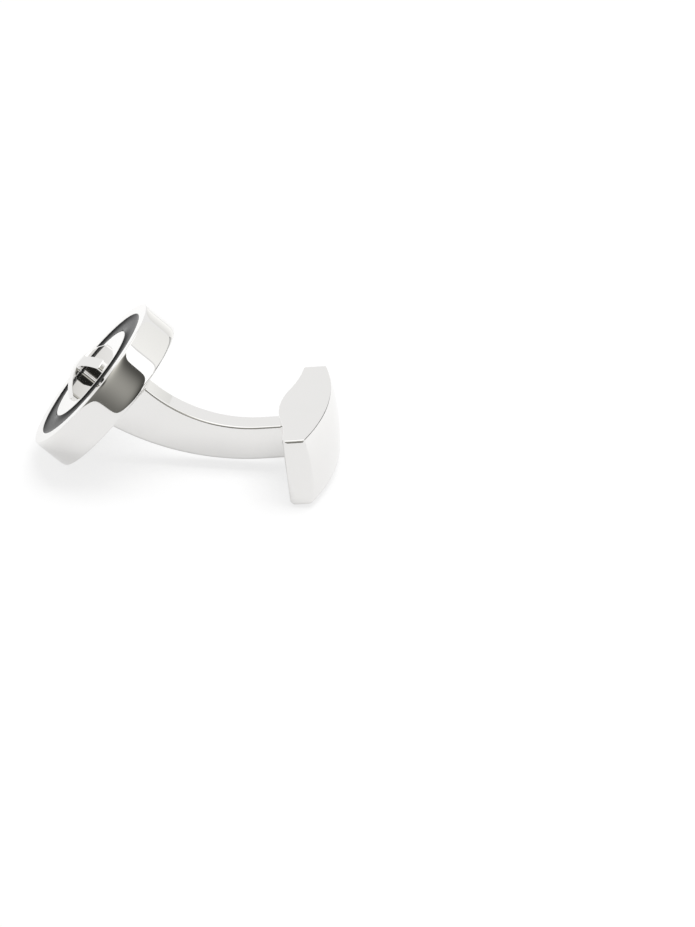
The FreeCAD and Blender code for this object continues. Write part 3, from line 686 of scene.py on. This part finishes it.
both = add(tree, "ShaderNodeMixShader", Fac=mirror_share.outputs[0], n1=matt.outputs[0], n2=glow.outputs[0])
tree.links.new(both.outputs[0], out.inputs["Surface"])
bm = bmesh.new()
bmesh.ops.create_grid(bm, x_segments=1, y_segments=1, size=sheet_half)
table = bpy.data.objects.new("table", plain_mesh("table", bm))
table.data.materials.append(paper)
bpy.context.scene.collection.objects.link(table)

# Studio
# A white room with softboxes and light panels, which polished metal mirrors. In front, round the camera,
# stands the dark of the room, which only polished metal sees.
room_fill = 0.6
room_mirrored = 0.92
world = bpy.data.worlds.new("white_room")
bpy.context.scene.world = world
world.use_nodes = True
tree = world.node_tree
tree.nodes.clear()
ray = add(tree, "ShaderNodeLightPath")
fill_level = add(tree, "ShaderNodeMix", {"data_type": "FLOAT"}, Factor=ray.outputs["Is Diffuse Ray"],
                 A=room_mirrored, B=room_fill)
room_level = add(tree, "ShaderNodeMix", {"data_type": "FLOAT"}, Factor=ray.outputs["Is Camera Ray"],
                 A=fill_level.outputs[0], B=1.0)
room = add(tree, "ShaderNodeBackground", Color=linear("#FFFFFF"), Strength=room_level.outputs[0])
add(tree, "ShaderNodeOutputWorld", Surface=room.outputs[0])


def towards(azimuth, elevation, distance):
    """Place seen from the object: azimuth from -Y towards +X, in degrees and millimetres."""
    a, e = math.radians(azimuth), math.radians(elevation)
    level_run = distance * math.cos(e)
    return (level_run * math.sin(a), -level_run * math.cos(a), distance * math.sin(e))


def mirror_card(name, rows, material):
    """A card through rows of places in millimetres, which only reflections see.

    Its UV runs along the rows and from the first row to the last.
    """
    bm = bmesh.new()
    uv = bm.loops.layers.uv.new("card")
    grid = [[bm.verts.new(Vector(place) * MM) for place in row] for row in rows]
    spots = {}
    for i, row in enumerate(grid):
        for j, vert in enumerate(row):
            spots[vert] = (j / (len(row) - 1), i / (len(grid) - 1))
    for low, high in zip(grid, grid[1:]):
        for j in range(len(low) - 1):
            face = bm.faces.new((low[j], low[j + 1], high[j + 1], high[j]))
            for corner in face.loops:
                corner[uv].uv = spots[corner.vert]
    mesh = plain_mesh(name, bm)
    mesh.materials.append(material)
    card = bpy.data.objects.new(name, mesh)
    bpy.context.scene.collection.objects.link(card)
    card.visible_camera = False
    card.visible_diffuse = False
    card.visible_shadow = False
    card.visible_transmission = False


def studio_card(name, azimuths, elevations, distance, material):
    """A bent card round the object."""
    mirror_card(name, [[towards(az, el, distance) for az in azimuths] for el in elevations], material)


# The front flag stands on the table round the camera. It is darkest at its right edge and at the table, and
# fades into the white room on the left and overhead. The lens is a darker spot in it.
flag_left = -45
flag_right = 57
flag_top = 65
flag_far = 125
flag_low = 0.15
climb_power = 1.3
left_gain = 0.3
right_gain = 0.85
gain_from = -2
gain_to = 14
edge_from = 18
edge_to = 55
edge_level = 0.13
left_fade = -22
fade_from = 56
fade_to = 63
faded_level = 0.98
lens_place = towards(3, 29, flag_far)
lens_wide = 20
lens_level = 0.05


def across_flag(azimuth):
    """Share of the flag's width at an azimuth."""
    return (azimuth - flag_left) / (flag_right - flag_left)


flag, tree, out = new_material("dark_grey_flag")
place = add(tree, "ShaderNodeSeparateXYZ", Vector=add(tree, "ShaderNodeTexCoord").outputs["UV"])
climb = add(tree, "ShaderNodeMath", {"operation": "POWER"}, n0=place.outputs["Y"], n1=climb_power)
gain = add(tree, "ShaderNodeMapRange", smooth, Value=place.outputs["X"], From_Min=across_flag(gain_from),
           From_Max=across_flag(gain_to), To_Min=left_gain, To_Max=right_gain)
upward = add(tree, "ShaderNodeMath", {"operation": "MULTIPLY_ADD"}, n0=climb.outputs[0],
             n1=gain.outputs["Result"], n2=flag_low)
rightward = add(tree, "ShaderNodeMapRange", smooth, Value=place.outputs["X"], From_Min=across_flag(edge_from),
                From_Max=across_flag(edge_to), To_Min=1.0, To_Max=edge_level)
shaded = add(tree, "ShaderNodeMath", {"operation": "MULTIPLY"}, n0=upward.outputs[0],
             n1=rightward.outputs["Result"])
leftward = add(tree, "ShaderNodeMapRange", smooth, Value=place.outputs["X"], From_Min=0.0,
               From_Max=across_flag(left_fade), To_Min=1.0, To_Max=0.0)
overhead = add(tree, "ShaderNodeMapRange", smooth, Value=place.outputs["Y"], From_Min=fade_from / flag_top,
               From_Max=fade_to / flag_top, To_Min=0.0, To_Max=1.0)
faded = add(tree, "ShaderNodeMath", {"operation": "MAXIMUM"}, n0=leftward.outputs["Result"],
            n1=overhead.outputs["Result"])
level = add(tree, "ShaderNodeMix", {"data_type": "FLOAT"}, Factor=faded.outputs[0], A=shaded.outputs[0],
            B=faded_level)
off_lens = add(tree, "ShaderNodeVectorMath", {"operation": "DISTANCE"},
               n0=add(tree, "ShaderNodeTexCoord").outputs["Object"], n1=Vector(lens_place) * MM)
lens_spot = add(tree, "ShaderNodeMapRange", smooth, Value=off_lens.outputs["Value"], From_Min=0.0,
                From_Max=lens_wide * MM, To_Min=lens_level, To_Max=1.0)
dimmed = add(tree, "ShaderNodeMath", {"operation": "MULTIPLY"}, n0=level.outputs[0],
             n1=lens_spot.outputs["Result"])
hue = add(tree, "ShaderNodeMix", {"data_type": "RGBA"}, Factor=faded.outputs[0],
          n6=linear("#FFFDF4"), n7=linear("#FFFFFF"))
glow = add(tree, "ShaderNodeEmission", Color=hue.outputs[2], Strength=dimmed.outputs[0])
tree.links.new(glow.outputs[0], out.inputs["Surface"])
studio_card("front_flag", range(flag_left, flag_right + 1, 3), range(0, flag_top + 1, 5), flag_far, flag)


def lit_cloth(name, colour, start, stop, along="X"):
    """Glowing cloth whose strength runs from start to stop along one direction of its card."""
    cloth, tree, out = new_material(name)
    place = add(tree, "ShaderNodeSeparateXYZ", Vector=add(tree, "ShaderNodeTexCoord").outputs["UV"])
    level = add(tree, "ShaderNodeMapRange", Value=place.outputs[along], To_Min=start, To_Max=stop)
    glow = add(tree, "ShaderNodeEmission", Color=linear(colour), Strength=level.outputs["Result"])
    tree.links.new(glow.outputs[0], out.inputs["Surface"])
    return cloth


# Softboxes and panels stand round the room, set out by azimuth and elevation in degrees. Where two overlap,
# the one that is to be seen stands a few millimetres nearer.
room_far = 310
box_right = 85
panel_left = 88
panel_right = 149
card_top = 70
ceiling_low = 66
box_rows = range(0, card_top + 1, 10)
panel_rows = range(15, card_top + 1, 5)
back_rows = (3, 8, 14, 20)
skirting_rows = range(10, 20, 3)
softbox = lit_cloth("softbox_cloth", "#FFFFFF", 1.25, 1.25)
studio_card("right_softbox", range(flag_right, box_right + 1, 2), box_rows, room_far, softbox)
studio_card("top_softbox", range(-180, 181, 3), range(ceiling_low, 91, 4), room_far - 4, softbox)
frame_cloth = lit_cloth("softbox_frame", "#FFFFFF", 0.8, 0.8)
studio_card("softbox_frame", range(box_right, panel_left + 1), box_rows, room_far + 2, frame_cloth)
panel = lit_cloth("side_panel_cloth", "#FFFFFD", 1.0, 0.92)
studio_card("side_panel", range(panel_left, panel_right + 1, 5), panel_rows, room_far, panel)
back_panel = lit_cloth("back_panel_cloth", "#FFFFFD", 1.12, 0.82, "Y")
studio_card("back_panel", range(panel_right, 181, 4), back_rows, room_far, back_panel)
skirting = lit_cloth("panel_skirting", "#FFFFFD", 0.9, 0.3, "Y")
studio_card("panel_skirting", range(flag_right, panel_right + 1, 4), skirting_rows, room_far - 2, skirting)

# A dark cloth hung beside the bar draws a fine line along the bar's outer top edge. It fades at all its edges
# into the white of the room.
cloth_middle = 0.05
cloth_edge = 0.95
cloth_margin = 0.3
hung_low = [(35, -10, 4.5), (32, 3, 5.0), (27, 13, 5.5), (17, 23, 6.0)]
hung_high = [(35, -10, 29.0), (32, 3, 25.0), (27, 13, 19.0), (17, 23, 14.0)]
dark_cloth, tree, out = new_material("dark_cloth")
place = add(tree, "ShaderNodeSeparateXYZ", Vector=add(tree, "ShaderNodeTexCoord").outputs["UV"])
from_side = add(tree, "ShaderNodeMath", {"operation": "PINGPONG"}, n0=place.outputs["X"], n1=0.5)
from_end = add(tree, "ShaderNodeMath", {"operation": "PINGPONG"}, n0=place.outputs["Y"], n1=0.5)
inward = add(tree, "ShaderNodeMath", {"operation": "MINIMUM"}, n0=from_side.outputs[0],
             n1=from_end.outputs[0])
level = add(tree, "ShaderNodeMapRange", smooth, Value=inward.outputs[0], From_Min=0.0, From_Max=cloth_margin,
            To_Min=cloth_edge, To_Max=cloth_middle)
glow = add(tree, "ShaderNodeEmission", Color=linear("#FFFFFF"), Strength=level.outputs["Result"])
tree.links.new(glow.outputs[0], out.inputs["Surface"])
mirror_card("rear_cloth", [hung_low, hung_high], dark_cloth)

# One soft lamp high on the right gives the sheet its shadow. Metal doesn't mirror it.
key_side = 0.5
key_watts = 3.1
key = bpy.data.lights.new("overhead_softbox", "AREA")
key.shape = "RECTANGLE"
key.size = key_side
key.size_y = key_side
key.energy = key_watts
key_light = bpy.data.objects.new("overhead_softbox", key)
key_light.location = (0.14, 0.06, 0.66)
key_light.rotation_euler = (-key_light.location).to_track_quat("-Z", "Y").to_euler()
key_light.visible_glossy = False
bpy.context.scene.collection.objects.link(key_light)

# Camera
# A long lens well back, at the photograph's height and side, with the piece where it lies in the frame.
# It rolls by a fraction of a degree.
focal_length = 816.06
camera_roll = 0.636
aim_at = Vector((0.01534, 0.00151, 0.00018))
lens = bpy.data.cameras.new("long_lens")
lens.sensor_fit = "HORIZONTAL"
lens.sensor_width = 36.0
lens.lens = focal_length
camera = bpy.data.objects.new("camera", lens)
camera.location = (0.1785, -1.3523, 0.6550)
aim = (aim_at - camera.location).to_track_quat("-Z", "Y")
camera.rotation_euler = (aim @ Quaternion((0, 0, 1), math.radians(camera_roll))).to_euler()
bpy.context.scene.collection.objects.link(camera)
bpy.context.scene.camera = camera
bpy.context.scene.view_settings.view_transform = "Standard"
